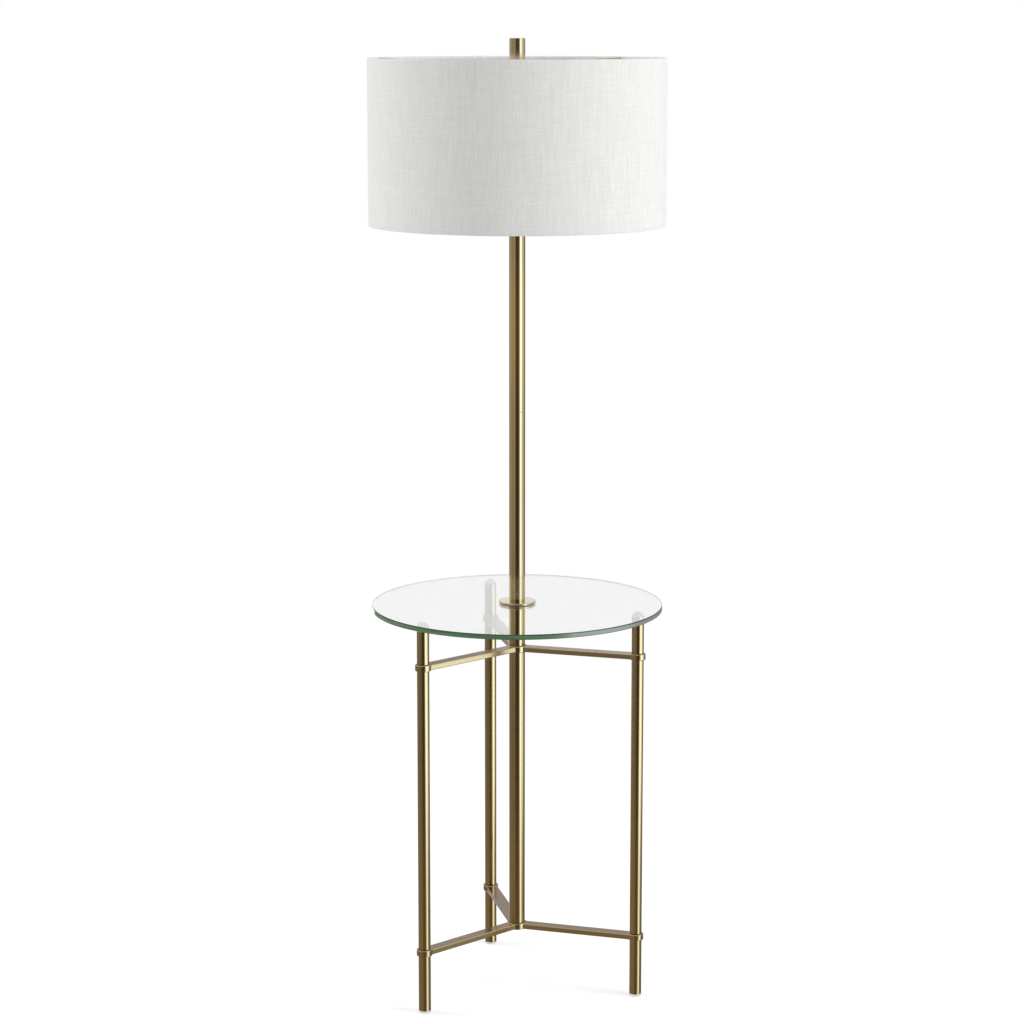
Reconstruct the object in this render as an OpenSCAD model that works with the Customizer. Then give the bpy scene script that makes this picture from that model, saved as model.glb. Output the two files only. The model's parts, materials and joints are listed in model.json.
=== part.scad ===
// Floor lamp with a round glass table, on three straight legs.
// The floor is Z = 0 and the pole stands on the Z axis. One leg points back (+Y),
// the other two point forward to the left and to the right.

/* [Overall] */
// Height from the floor to the top of the finial
overall_h = 1498.6; // [1400:0.1:1700]
// Height from the floor to the top of the glass
table_h = 622.3; // [590:0.1:680]

/* [Pole] */
// Outside diameter of the pole tubes
pole_d = 25; // [22:0.5:30]
// Wall of the pole tubes
pole_wall = 1.2; // [0.8:0.1:2]
// Height of the joint between the middle and the upper tube
pole_joint_z = 926; // [800:1:1100]
// How far the pole reaches up into the shade
pole_rise = 25; // [10:1:45]
// Diameter of the cap on the pole's top
pole_cap_d = 29; // [26:0.5:36]
// Thickness of that cap
pole_cap_h = 4; // [2:0.5:8]

/* [Legs] */
// Outside diameter of the leg tubes
leg_d = 19; // [16:0.5:22]
// Wall of the leg tubes
leg_wall = 1.2; // [0.8:0.1:2]
// Distance from the pole's axis to each leg's axis
leg_circle_r = 196; // [150:1:205]
// Height of the clear glide under each leg
glide_h = 3.2; // [2:0.1:8]
// Height of the clear bumper between a leg and the glass
bumper_h = 6; // [3:0.5:10]

/* [Brackets] */
// Height of the lower bracket's underside
lower_bracket_z = 92; // [50:1:200]
// Height of the upper bracket's underside
upper_bracket_z = 545; // [400:1:560]
// Height of the rings that the tubes are clamped on
ring_h = 10; // [9:0.5:16]
// How far a ring stands out past its tube
ring_lip = 2.75; // [1.5:0.25:4]
// Width of the bracket arms
arm_w = 18.5; // [12:0.5:20]
// Height of the bracket arms
arm_h = 8.2; // [5:0.1:8.6]
// Rounding of the bracket edges
edge_r = 1; // [0.4:0.1:1.5]
// Chamfer that eases the ends of the tubes, so that each joint shows as a fine line
tube_ease = 0.4; // [0.2:0.05:0.6]

/* [Table] */
// Diameter of the glass
glass_d = 455; // [430:1:500]
// Thickness of the glass
glass_t = 8; // [6:0.5:12]
// Bevel on the edge of the glass
glass_bevel = 0.8; // [0.3:0.1:1.5]
// Diameter of the flange on the glass
flange_d = 59; // [45:1:80]
// Thickness of the flange
flange_t = 3.3; // [2:0.1:6]
// Thickness of the soft washers above and below the glass
gasket_t = 1; // [0.5:0.1:2]

/* [Rods and plugs] */
// Outside diameter of the threaded pipe inside the pole
pipe_d = 10; // [9:0.5:12]
// Bore of that pipe, where the cord runs
pipe_bore = 8; // [7:0.5:8]
// Depth of the threaded plugs in the tube ends
plug_h = 12; // [8:1:20]
// Diameter of the studs that clamp the leg tubes
stud_d = 8; // [6:1:10]
// Width across the flats of the nut under the pole
nut_af = 15; // [14:0.5:17]
// Height of that nut
nut_h = 3.8; // [3:0.1:4]
// Thickness of the washer above the nut
washer_t = 1; // [0.8:0.1:1.2]
// Diameter of the recess that hides the nut
recess_d = 20; // [20:0.5:22]
// Bore of the bushing that the cord comes in through
cord_bore = 6.2; // [5:0.1:6.4]

/* [Shade] */
// Diameter of the shade
shade_d = 457.2; // [400:0.1:520]
// Height of the shade
shade_h = 254; // [240:0.1:300]
// Thickness of the cloth
fabric_t = 0.6; // [0.4:0.1:1.2]
// Thickness of the stiff liner behind the cloth
liner_t = 0.5; // [0.3:0.1:1]
// Diameter of the wire rings in the shade's edges
shade_wire_d = 4; // [3:0.5:5]
// How far the middle of the spider lies below the shade's top edge
spider_drop = 10.5; // [8:0.5:25]
// Diameter of the spider arms
spider_arm_d = 3; // [2:0.5:4]
// How far the spider's middle washer stands out past the finial
spider_rim = 3.75; // [3:0.25:8]
// Thickness of the spider's middle washer
spider_t = 2; // [1:0.1:3]

/* [Finial] */
// Diameter of the finial
finial_d = 24.5; // [16:0.5:30]
// Height of the finial
finial_h = 40; // [25:1:60]
// Rounding of the finial's edges
finial_edge_r = 0.5; // [0.3:0.1:2]
// Diameter of the threaded stud that the finial screws on
finial_stud_d = 6.35; // [5:0.05:8]
// Length of thread inside the finial
finial_grip = 9; // [6:0.5:15]

/* [Harp] */
// Diameter of the harp wire
harp_wire_d = 4; // [3:0.5:5]
// Half the width of the harp at its feet
harp_foot_x = 24; // [22:1:28]
// Half the width of the harp at its widest
harp_half_w = 57; // [50:1:75]
// Height of the sockets on the saddle that hold the harp
saddle_post_h = 12; // [8:1:13]
// Length of the locking sleeves
sleeve_h = 14; // [10:1:20]
// How far a locking sleeve slides up
sleeve_travel = 12; // [8:1:14]

/* [Lamp holder and bulb] */
// Diameter of the lamp holder's shell
holder_d = 33; // [32:0.5:36]
// Height of the lamp holder's shell
holder_h = 42; // [38:1:50]
// Height of the switch key above the holder's cap
key_rise = 14; // [11:0.5:14]
// Diameter of the screw base of the bulb
bulb_base_d = 26; // [25.5:0.1:26.5]
// Height of the screw base of the bulb
bulb_base_h = 24; // [20:1:26]
// Diameter of the bulb
bulb_d = 60; // [45:1:65]
// Height of the bulb without its screw base
bulb_h = 84; // [70:1:95]

/* [Fits] */
// Radial gap of threads, plugs and pressed pieces
thread_gap = 0.1; // [0.05:0.05:0.2]
// Radial gap of what turns or slides
running_gap = 0.06; // [0.03:0.01:0.1]
// Gap between faces that turn or slide on each other
face_gap = 0.2; // [0.1:0.05:0.3]
// Gap between the shade's cloth, liner and rings
shade_gap = 0.2; // [0.1:0.05:0.3]

/* [Hidden] */
$fn = 96;

brass = "#8c7344";
steel = "#8b8d8f";
clear_plastic = "#dfe4e4";
black_plastic = "#1f1f1f";
linen = "#f1f0ec";

// How far a cutting solid runs past the face it cuts
cut = 1;

// Directions of the three legs about the pole
back_a = 90;
left_a = 210;
right_a = 330;
leg_angles = [back_a, left_a, right_a];

// Brackets
ring_d = leg_d + 2 * ring_lip;
hub_d = pole_d + 2 * ring_lip;
stud_hole_d = stud_d + 2 * thread_gap;
pipe_hole_d = pipe_d + 2 * thread_gap;
lower_bracket_top = lower_bracket_z + ring_h;
upper_bracket_top = upper_bracket_z + ring_h;

// Table
glass_bottom = table_h - glass_t;
leg_top_z = glass_bottom - bumper_h;
neck_top = glass_bottom - gasket_t;
flange_bottom = table_h + gasket_t;
flange_top = flange_bottom + flange_t;

// Hidden fastening under the pole: washer, nut and bushing, up inside the recess
bushing_flange_t = 1;
bushing_neck_h = 9;
bushing_rim = 1.5;
recess_slack = 0.2;
recess_h = washer_t + nut_h + bushing_flange_t + recess_slack;
washer_z = lower_bracket_z + recess_h - washer_t;
nut_z = washer_z - nut_h;
pipe_bottom = nut_z;
pipe_top = flange_top + plug_h;
washer_gap = 1;
washer_d = recess_d - 2 * washer_gap;

// Shade
shade_top = overall_h - finial_h + spider_drop;
shade_bottom = shade_top - shade_h;
liner_d = shade_d - 2 * (fabric_t + shade_gap);
shade_ring_r = liner_d / 2 - liner_t - shade_gap - shade_wire_d / 2;
shade_ring_inset = 0.6;
top_ring_z = shade_top - shade_ring_inset - shade_wire_d / 2;
bottom_ring_z = shade_bottom + shade_ring_inset + shade_wire_d / 2;
spider_angles = [30, 150, 270];
spider_hub_d = finial_d + 2 * spider_rim;

// Finial, its stud and the top of the harp
finial_seat = overall_h - finial_h;
spider_z = finial_seat - face_gap - spider_t;
shoulder_h = 3;
shoulder_d = 14;
shank_d = 5;
rivet_d = 9;
rivet_h = 1.5;
boss_d = 13;
boss_h = 6;
boss_top = spider_z - shoulder_h - face_gap;
finial_hole_slack = 3;
finial_hole_h = finial_grip + finial_hole_slack;

// Lamp holder, upwards from the pole's cap
pole_top = shade_bottom + pole_rise;
saddle_z = pole_top + pole_cap_h;
saddle_t = 1.6;
saddle_w = 13;
holder_z = saddle_z + saddle_t;
holder_neck_h = 7;
holder_neck_wall = 3;
holder_neck_d = pipe_d + 2 * holder_neck_wall;
holder_wall = 0.8;
holder_cap_h = 16;
holder_lap = 4;
shell_z = holder_z + holder_cap_h - holder_lap;
shell_wall = 0.6;
holder_liner_t = 0.8;
liner_bottom = holder_z + holder_cap_h;
key_z = liner_bottom + key_rise;
body_h = 24;
body_d = holder_d - 2 * (shell_wall + holder_liner_t + 2 * thread_gap);
shaft_d = 3.2;
key_hole_d = 8.6;
key_stem_d = 7;
key_stem_l = 9;
key_w = 15;
key_t = 4.5;
key_r = 7.5;
key_sink = 2;
key_recess = 2;
contact_z = liner_bottom + body_h;
contact_h = 1.2;
contact_d = 9;
contact_clearance = 2;
screw_wall = 0.5;
screw_shell_inset = 1.5;
screw_shell_top = shell_z + holder_h + holder_lap - screw_shell_inset;
bulb_gap = 0.2;
tip_h = 3;
tip_d = 10;
tip_shoulder = 3;
base_z = contact_z + contact_h + face_gap + tip_h;
housing_z = base_z + bulb_base_h;
housing_h = 32;
housing_flare = 8.5;
housing_top_z = housing_z + housing_h;
housing_top_d = bulb_base_d + 2 * housing_flare;
bulb_top = housing_z + bulb_h;
globe_c = bulb_top - bulb_d / 2;
globe_inset = 1;

// Harp, in the plane Y = 0
post_wall = 1.5;
post_d = harp_wire_d + 2 * post_wall;
sleeve_wall = 1.1;
post_z = saddle_z + saddle_t;
sleeve_cap_t = 2;
sleeve_z = post_z + saddle_post_h + face_gap + sleeve_cap_t - sleeve_h;
harp_straight = 1;
harp_bend_low = 10;
harp_bend_wide = harp_half_w - harp_foot_x - harp_bend_low - harp_straight;
harp_bend_top = 40;
harp_flare_z = sleeve_z + sleeve_h + sleeve_travel + harp_bend_low + harp_straight;
harp_top_z = boss_top - boss_h / 2;

// ---- shapes that several pieces share ----

module at_leg(a) {
  rotate([0, 0, a]) translate([leg_circle_r, 0, 0]) children();
}

// A straight tube along Z
module tube(d, h, wall) {
  difference() {
    cylinder(d = d, h = h);
    translate([0, 0, -cut]) cylinder(d = d - 2 * wall, h = h + 2 * cut);
  }
}

// A tube of the pole or a leg, its outer edges eased
module eased_tube(d, h, wall) {
  rotate_extrude() polygon([
    [d / 2 - wall, 0], [d / 2 - tube_ease, 0], [d / 2, tube_ease],
    [d / 2, h - tube_ease], [d / 2 - tube_ease, h], [d / 2 - wall, h]
  ]);
}

// A flat ring or washer
module washer(d, bore, h) {
  difference() {
    cylinder(d = d, h = h);
    translate([0, 0, -cut]) cylinder(d = bore, h = h + 2 * cut);
  }
}

// A disc whose outer edges are rounded
module puck(d, h, r) {
  rotate_extrude() {
    square([d / 2 - r, h]);
    translate([0, r]) square([d / 2, h - 2 * r]);
    for (y = [r, h - r]) translate([d / 2 - r, y]) circle(r);
  }
}

module rounded_rect(w, h, r) {
  square([w - 2 * r, h], center = true);
  square([w, h - 2 * r], center = true);
  for (x = [-1, 1], y = [-1, 1]) translate([x * (w / 2 - r), y * (h / 2 - r)]) circle(r);
}

function unit(v) = v / norm(v);
function heading(v) = atan2(v[1], v[0]);
function turn_at(p, i) = acos(unit(p[i - 1] - p[i]) * unit(p[i + 1] - p[i]));
function setback(p, r, i) = i == 0 || i == len(p) - 1 ? 0 : r[i] / tan(turn_at(p, i) / 2);

// A round wire in the plane Y = 0 through the points p, with bends of the radii r
module bent_wire(p, r, d) {
  for (i = [0:len(p) - 2]) {
    along = unit(p[i + 1] - p[i]);
    from = p[i] + along * setback(p, r, i);
    run = norm(p[i + 1] - p[i]) - setback(p, r, i) - setback(p, r, i + 1);
    translate([from[0], 0, from[1]]) rotate([0, 90 - heading(along), 0]) cylinder(d = d, h = run);
  }
  for (i = [1:len(p) - 2]) {
    back = unit(p[i - 1] - p[i]);
    ahead = unit(p[i + 1] - p[i]);
    centre = p[i] + unit(back + ahead) * r[i] / sin(turn_at(p, i) / 2);
    start = p[i] + back * setback(p, r, i) - centre;
    end = p[i] + ahead * setback(p, r, i) - centre;
    left_turn = start[0] * end[1] - start[1] * end[0] > 0;
    translate([centre[0], 0, centre[1]])
      rotate([90, 0, 0])
        rotate([0, 0, heading(left_turn ? start : end)])
          rotate_extrude(angle = 180 - turn_at(p, i)) translate([r[i], 0]) circle(d = d);
  }
}

// ---- brackets ----

module bracket(hub_bore) {
  arm_from = hub_d / 4;
  arm_to = leg_circle_r - ring_d / 4;
  difference() {
    union() {
      puck(hub_d, ring_h, edge_r);
      for (a = leg_angles) {
        at_leg(a) puck(ring_d, ring_h, edge_r);
        rotate([0, 0, a]) translate([arm_from, 0, ring_h / 2]) rotate([0, 90, 0])
          linear_extrude(arm_to - arm_from) rounded_rect(arm_h, arm_w, edge_r);
      }
    }
    translate([0, 0, -cut]) cylinder(d = hub_bore, h = ring_h + 2 * cut);
    for (a = leg_angles) at_leg(a) translate([0, 0, -cut]) cylinder(d = stud_hole_d, h = ring_h + 2 * cut);
  }
}

module lower_bracket() {
  color(brass) translate([0, 0, lower_bracket_z]) difference() {
    bracket(pipe_hole_d);
    translate([0, 0, -cut]) cylinder(d = recess_d, h = recess_h + cut);
  }
}

module upper_bracket() {
  color(brass) translate([0, 0, upper_bracket_z]) bracket(pipe_hole_d);
}

// ---- legs ----

module leg_foot(a) {
  color(brass) at_leg(a) translate([0, 0, glide_h]) eased_tube(leg_d, lower_bracket_z - glide_h, leg_wall);
}

module leg_main(a) {
  color(brass) at_leg(a) translate([0, 0, lower_bracket_top])
    eased_tube(leg_d, upper_bracket_z - lower_bracket_top, leg_wall);
}

module leg_top(a) {
  color(brass) at_leg(a) translate([0, 0, upper_bracket_top])
    eased_tube(leg_d, leg_top_z - upper_bracket_top, leg_wall);
}

module leg_plugs() {
  starts = [lower_bracket_z - plug_h, lower_bracket_top, upper_bracket_z - plug_h, upper_bracket_top];
  color(steel) for (a = leg_angles, z = starts) at_leg(a) translate([0, 0, z])
    washer(leg_d - 2 * leg_wall - 2 * thread_gap, stud_hole_d, plug_h);
}

module leg_studs(ring_z) {
  stud_inset = 2;
  reach = plug_h - stud_inset;
  color(steel) for (a = leg_angles) at_leg(a) translate([0, 0, ring_z - reach])
    cylinder(d = stud_d, h = ring_h + 2 * reach);
}

module leg_studs_lower() { leg_studs(lower_bracket_z); }
module leg_studs_upper() { leg_studs(upper_bracket_z); }

module floor_glide(a) {
  stem_h = 8;
  color(clear_plastic) at_leg(a) {
    rotate_extrude() {
      square([leg_d / 2 - edge_r, glide_h]);
      translate([0, edge_r]) square([leg_d / 2, glide_h - edge_r]);
      translate([leg_d / 2 - edge_r, edge_r]) circle(edge_r);
    }
    translate([0, 0, glide_h]) cylinder(d = leg_d - 2 * leg_wall - 2 * thread_gap, h = stem_h);
  }
}

// A clear dome, cut flat where the glass lies on it
module glass_bumper(a) {
  stem_h = 10;
  dome_inset = 0.5;
  dome_base_r = leg_d / 2 - dome_inset;
  flat_r = 3;
  dome_r = norm([dome_base_r, (dome_base_r ^ 2 - flat_r ^ 2 - bumper_h ^ 2) / (2 * bumper_h)]);
  dome_drop = sqrt(dome_r ^ 2 - flat_r ^ 2) - bumper_h;
  color(clear_plastic) at_leg(a) translate([0, 0, leg_top_z]) {
    intersection() {
      translate([0, 0, -dome_drop]) sphere(r = dome_r);
      cylinder(r = dome_base_r, h = bumper_h);
    }
    translate([0, 0, -stem_h]) cylinder(d = leg_d - 2 * leg_wall - 2 * thread_gap, h = stem_h);
  }
}

// ---- pole ----

module pole_part(from, to) {
  color(brass) translate([0, 0, from]) eased_tube(pole_d, to - from, pole_wall);
}

module pole_lower() { pole_part(lower_bracket_top, upper_bracket_z); }
module pole_neck() { pole_part(upper_bracket_top, neck_top); }
module pole_middle() { pole_part(flange_top, pole_joint_z); }
module pole_upper() { pole_part(pole_joint_z, pole_top); }

pole_plug_d = pole_d - 2 * pole_wall - 2 * thread_gap;

module pole_centring_rings() {
  centring_h = 6;
  starts = [lower_bracket_top, upper_bracket_z - centring_h, upper_bracket_top, neck_top - centring_h];
  color(steel) for (z = starts) translate([0, 0, z]) washer(pole_plug_d, pipe_hole_d, centring_h);
}

module pole_threaded_plugs() {
  starts = [flange_top, pole_joint_z - plug_h, pole_joint_z, pole_top - plug_h];
  color(steel) for (z = starts) translate([0, 0, z]) washer(pole_plug_d, pipe_hole_d, plug_h);
}

module threaded_pipe(from, to) {
  color(steel) translate([0, 0, from]) washer(pipe_d, pipe_bore, to - from);
}

module pole_joint_nipple() {
  nipple_inset = 1;
  reach = plug_h - nipple_inset;
  threaded_pipe(pole_joint_z - reach, pole_joint_z + reach);
}

module tie_pipe() { threaded_pipe(pipe_bottom, pipe_top); }
module head_nipple() { threaded_pipe(pole_top - plug_h, holder_z + holder_neck_h); }

module bottom_washer() {
  color(steel) translate([0, 0, washer_z]) washer(washer_d, pipe_hole_d, washer_t);
}

module bottom_nut() {
  color(steel) translate([0, 0, nut_z]) difference() {
    cylinder(d = nut_af / cos(30), h = nut_h, $fn = 6);
    translate([0, 0, -cut]) cylinder(d = pipe_hole_d, h = nut_h + 2 * cut);
  }
}

module cord_bushing() {
  color(black_plastic) translate([0, 0, pipe_bottom - bushing_flange_t]) difference() {
    union() {
      cylinder(d = pipe_d + 2 * bushing_rim, h = bushing_flange_t);
      cylinder(d = pipe_bore - 2 * thread_gap, h = bushing_flange_t + bushing_neck_h);
    }
    translate([0, 0, -cut]) cylinder(d = cord_bore, h = bushing_flange_t + bushing_neck_h + 2 * cut);
  }
}

// ---- table ----

module table_glass() {
  glass_hole_gap = 1;
  glass_hole_d = pipe_d + 2 * glass_hole_gap;
  color("#cfe3da", 0.4) translate([0, 0, glass_bottom]) difference() {
    rotate_extrude() polygon([
      [0, 0], [glass_d / 2 - glass_bevel, 0], [glass_d / 2, glass_bevel],
      [glass_d / 2, glass_t - glass_bevel], [glass_d / 2 - glass_bevel, glass_t], [0, glass_t]
    ]);
    translate([0, 0, -cut]) cylinder(d = glass_hole_d, h = glass_t + 2 * cut);
  }
}

module table_flange() {
  color(brass) translate([0, 0, flange_bottom]) difference() {
    puck(flange_d, flange_t, edge_r);
    translate([0, 0, -cut]) cylinder(d = pipe_hole_d, h = flange_t + 2 * cut);
  }
}

module flange_gasket() {
  gasket_inset = 2;
  color(clear_plastic) translate([0, 0, table_h])
    washer(flange_d - 2 * gasket_inset, pipe_hole_d, gasket_t);
}

module glass_seat_washer() {
  color(clear_plastic) translate([0, 0, neck_top]) washer(pole_d, pipe_hole_d, gasket_t);
}

// ---- top of the pole and harp ----

module pole_cap() {
  color(brass) translate([0, 0, pole_top]) difference() {
    puck(pole_cap_d, pole_cap_h, edge_r);
    translate([0, 0, -cut]) cylinder(d = pipe_hole_d, h = pole_cap_h + 2 * cut);
  }
}

module harp_saddle() {
  color(brass) difference() {
    union() {
      translate([-harp_foot_x, -saddle_w / 2, saddle_z]) cube([2 * harp_foot_x, saddle_w, saddle_t]);
      for (side = [-1, 1]) translate([side * harp_foot_x, 0, saddle_z]) {
        cylinder(d = saddle_w, h = saddle_t);
        cylinder(d = post_d, h = saddle_t + saddle_post_h);
      }
    }
    translate([0, 0, saddle_z - cut]) cylinder(d = pipe_hole_d, h = saddle_t + 2 * cut);
    for (side = [-1, 1]) translate([side * harp_foot_x, 0, post_z])
      cylinder(d = harp_wire_d + 2 * thread_gap, h = saddle_post_h + cut);
  }
}

module harp() {
  outline = [
    [harp_foot_x, post_z], [harp_foot_x, harp_flare_z], [harp_half_w, harp_flare_z],
    [harp_half_w, harp_top_z], [0, harp_top_z]
  ];
  bends = [0, harp_bend_low, harp_bend_wide, harp_bend_top, 0];
  color(brass) difference() {
    union() {
      for (side = [0, 1]) mirror([side, 0, 0]) bent_wire(outline, bends, harp_wire_d);
      translate([0, 0, boss_top - boss_h]) cylinder(d = boss_d, h = boss_h);
    }
    translate([0, 0, boss_top - boss_h - cut])
      cylinder(d = shank_d + 2 * running_gap, h = boss_h + 2 * cut);
  }
}

module harp_sleeve(side) {
  inner_d = post_d + 2 * running_gap;
  color(brass) translate([side * harp_foot_x, 0, sleeve_z]) difference() {
    cylinder(d = inner_d + 2 * sleeve_wall, h = sleeve_h);
    translate([0, 0, -cut]) cylinder(d = inner_d, h = sleeve_h - sleeve_cap_t + cut);
    translate([0, 0, -cut]) cylinder(d = harp_wire_d + 2 * running_gap, h = sleeve_h + 2 * cut);
  }
}

// ---- lamp holder ----

module holder_cap() {
  neck_r = holder_neck_d / 2;
  rim_r = holder_d / 2 + holder_wall + thread_gap;
  slope_top = holder_cap_h - holder_lap;
  color(brass) translate([0, 0, holder_z]) rotate_extrude() polygon([
    [pipe_hole_d / 2, 0], [neck_r, 0], [neck_r, holder_neck_h - 2 * holder_wall],
    [rim_r, slope_top - holder_wall], [rim_r, holder_cap_h],
    [rim_r - holder_wall, holder_cap_h], [rim_r - holder_wall, slope_top],
    [neck_r, holder_neck_h], [pipe_hole_d / 2, holder_neck_h]
  ]);
}

module holder_shell() {
  color(brass) difference() {
    translate([0, 0, shell_z]) tube(holder_d, holder_h + holder_lap, shell_wall);
    translate([0, 0, key_z]) rotate([90, 0, 0]) cylinder(d = key_hole_d, h = holder_d);
  }
}

module holder_liner() {
  color("#b9b2a0") difference() {
    translate([0, 0, liner_bottom])
      tube(holder_d - 2 * (shell_wall + thread_gap), holder_h - holder_liner_t, holder_liner_t);
    translate([0, 0, key_z]) rotate([90, 0, 0]) cylinder(d = key_hole_d, h = holder_d);
  }
}

module switch_body() {
  shaft_hole_d = shaft_d + 2 * running_gap;
  color(black_plastic) difference() {
    translate([0, 0, liner_bottom]) cylinder(d = body_d, h = body_h);
    translate([0, 0, key_z]) rotate([90, 0, 0]) cylinder(d = shaft_hole_d, h = body_d);
    translate([0, -body_d / 2, key_z]) rotate([90, 0, 0])
      cylinder(d = key_hole_d, h = 2 * key_recess, center = true);
  }
}

module screw_shell() {
  inner_d = bulb_base_d + 2 * bulb_gap;
  color("#c9a85a") translate([0, 0, contact_z]) difference() {
    cylinder(d = inner_d + 2 * screw_wall, h = screw_shell_top - contact_z);
    translate([0, 0, screw_wall]) cylinder(d = inner_d, h = bulb_base_h);
    translate([0, 0, -cut]) cylinder(d = contact_d + 2 * contact_clearance, h = bulb_base_h);
  }
}

module centre_contact() {
  color("#c9a85a") translate([0, 0, contact_z]) cylinder(d = contact_d, h = contact_h);
}

// The key turns about the axis of its shaft, which points to the front
module along_key(from) {
  translate([0, -from, key_z]) rotate([90, 0, 0]) children();
}

shaft_from = 4;
key_from = holder_d / 2 + face_gap;

module switch_shaft() {
  color(steel) along_key(shaft_from + face_gap) cylinder(d = shaft_d, h = key_from - shaft_from - face_gap);
}

module switch_key() {
  color(black_plastic) along_key(key_from) {
    cylinder(d = key_stem_d, h = key_stem_l);
    translate([0, 0, key_stem_l + key_r - key_sink]) intersection() {
      rotate([0, 90, 0]) cylinder(r = key_r, h = key_w, center = true);
      cube([key_t, key_w, 2 * key_r], center = true);
    }
  }
}

// ---- bulb ----

module bulb_base() {
  color("#c4c6c8") translate([0, 0, base_z]) cylinder(d = bulb_base_d, h = bulb_base_h);
}

module bulb_tip() {
  color(steel) translate([0, 0, base_z - tip_h])
    cylinder(d1 = tip_d, d2 = bulb_base_d - 2 * tip_shoulder, h = tip_h);
}

module bulb_housing() {
  color("#e9e9e6") translate([0, 0, housing_z])
    cylinder(d1 = bulb_base_d, d2 = housing_top_d, h = housing_h);
}

module bulb_globe() {
  color("#f7f6f0") difference() {
    union() {
      translate([0, 0, globe_c]) sphere(d = bulb_d);
      translate([0, 0, housing_top_z])
        cylinder(d1 = housing_top_d, d2 = bulb_d - 2 * globe_inset, h = globe_c - housing_top_z);
    }
    translate([0, 0, housing_z]) cylinder(d = bulb_d + cut, h = housing_h);
  }
}

// ---- shade ----

module shade_wire_ring(z) {
  color(brass) translate([0, 0, z]) rotate_extrude() translate([shade_ring_r, 0]) circle(d = shade_wire_d);
}

// A washer with three arms that rise to the shade's top ring
module shade_spider() {
  arm_from = (spider_hub_d - spider_arm_d) / 2;
  hub_z = spider_z + spider_t / 2;
  reach = shade_ring_r - arm_from;
  rise = top_ring_z - hub_z;
  arm_l = norm([reach, rise]) - shade_wire_d / 2 - thread_gap;
  color(brass) {
    translate([0, 0, spider_z]) washer(spider_hub_d, finial_stud_d + 2 * thread_gap, spider_t);
    for (a = spider_angles) rotate([0, 0, a]) translate([arm_from, 0, hub_z])
      rotate([0, 90 - atan2(rise, reach), 0]) cylinder(d = spider_arm_d, h = arm_l);
  }
}

module shade_top_ring() { shade_wire_ring(top_ring_z); }
module shade_bottom_ring() { shade_wire_ring(bottom_ring_z); }

module shade_liner() {
  color("#fbfaf6") translate([0, 0, shade_bottom + shade_ring_inset])
    tube(liner_d, shade_h - 2 * shade_ring_inset, liner_t);
}

module shade_fabric() {
  color(linen) translate([0, 0, shade_bottom]) tube(shade_d, shade_h, fabric_t);
}

// ---- finial ----

module harp_stud() {
  color(brass) {
    translate([0, 0, spider_z]) cylinder(d = finial_stud_d, h = spider_t + face_gap + finial_grip);
    translate([0, 0, spider_z - shoulder_h]) cylinder(d = shoulder_d, h = shoulder_h);
    translate([0, 0, boss_top - boss_h - face_gap]) cylinder(d = shank_d, h = boss_h + 2 * face_gap);
    translate([0, 0, boss_top - boss_h - face_gap - rivet_h]) cylinder(d = rivet_d, h = rivet_h);
  }
}

module finial() {
  color(brass) translate([0, 0, finial_seat]) difference() {
    puck(finial_d, finial_h, finial_edge_r);
    translate([0, 0, -cut]) cylinder(d = finial_stud_d + 2 * running_gap, h = finial_hole_h + cut);
  }
}

lower_bracket();
upper_bracket();
leg_foot(left_a);  // leg_foot_left
leg_foot(right_a);  // leg_foot_right
leg_foot(back_a);  // leg_foot_back
leg_main(left_a);  // leg_main_left
leg_main(right_a);  // leg_main_right
leg_main(back_a);  // leg_main_back
leg_top(left_a);  // leg_top_left
leg_top(right_a);  // leg_top_right
leg_top(back_a);  // leg_top_back
leg_plugs();
leg_studs_lower();
leg_studs_upper();
floor_glide(left_a);  // floor_glide_left
floor_glide(right_a);  // floor_glide_right
floor_glide(back_a);  // floor_glide_back
glass_bumper(left_a);  // glass_bumper_left
glass_bumper(right_a);  // glass_bumper_right
glass_bumper(back_a);  // glass_bumper_back
pole_lower();
pole_neck();
pole_middle();
pole_upper();
pole_centring_rings();
pole_threaded_plugs();
pole_joint_nipple();
tie_pipe();
bottom_washer();
bottom_nut();
cord_bushing();
table_glass();
table_flange();
flange_gasket();
glass_seat_washer();
pole_cap();
head_nipple();
harp_saddle();
harp();
harp_sleeve(-1);  // harp_sleeve_left
harp_sleeve(1);  // harp_sleeve_right
holder_cap();
holder_shell();
holder_liner();
switch_body();
screw_shell();
centre_contact();
switch_shaft();
switch_key();
bulb_base();
bulb_tip();
bulb_housing();
bulb_globe();
shade_spider();
shade_top_ring();
shade_bottom_ring();
shade_liner();
shade_fabric();
harp_stud();
finial();
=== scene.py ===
"""Looks of the floor lamp with the glass table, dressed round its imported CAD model."""

import json
import math

import bpy
from mathutils import Matrix, Vector, noise


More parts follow.
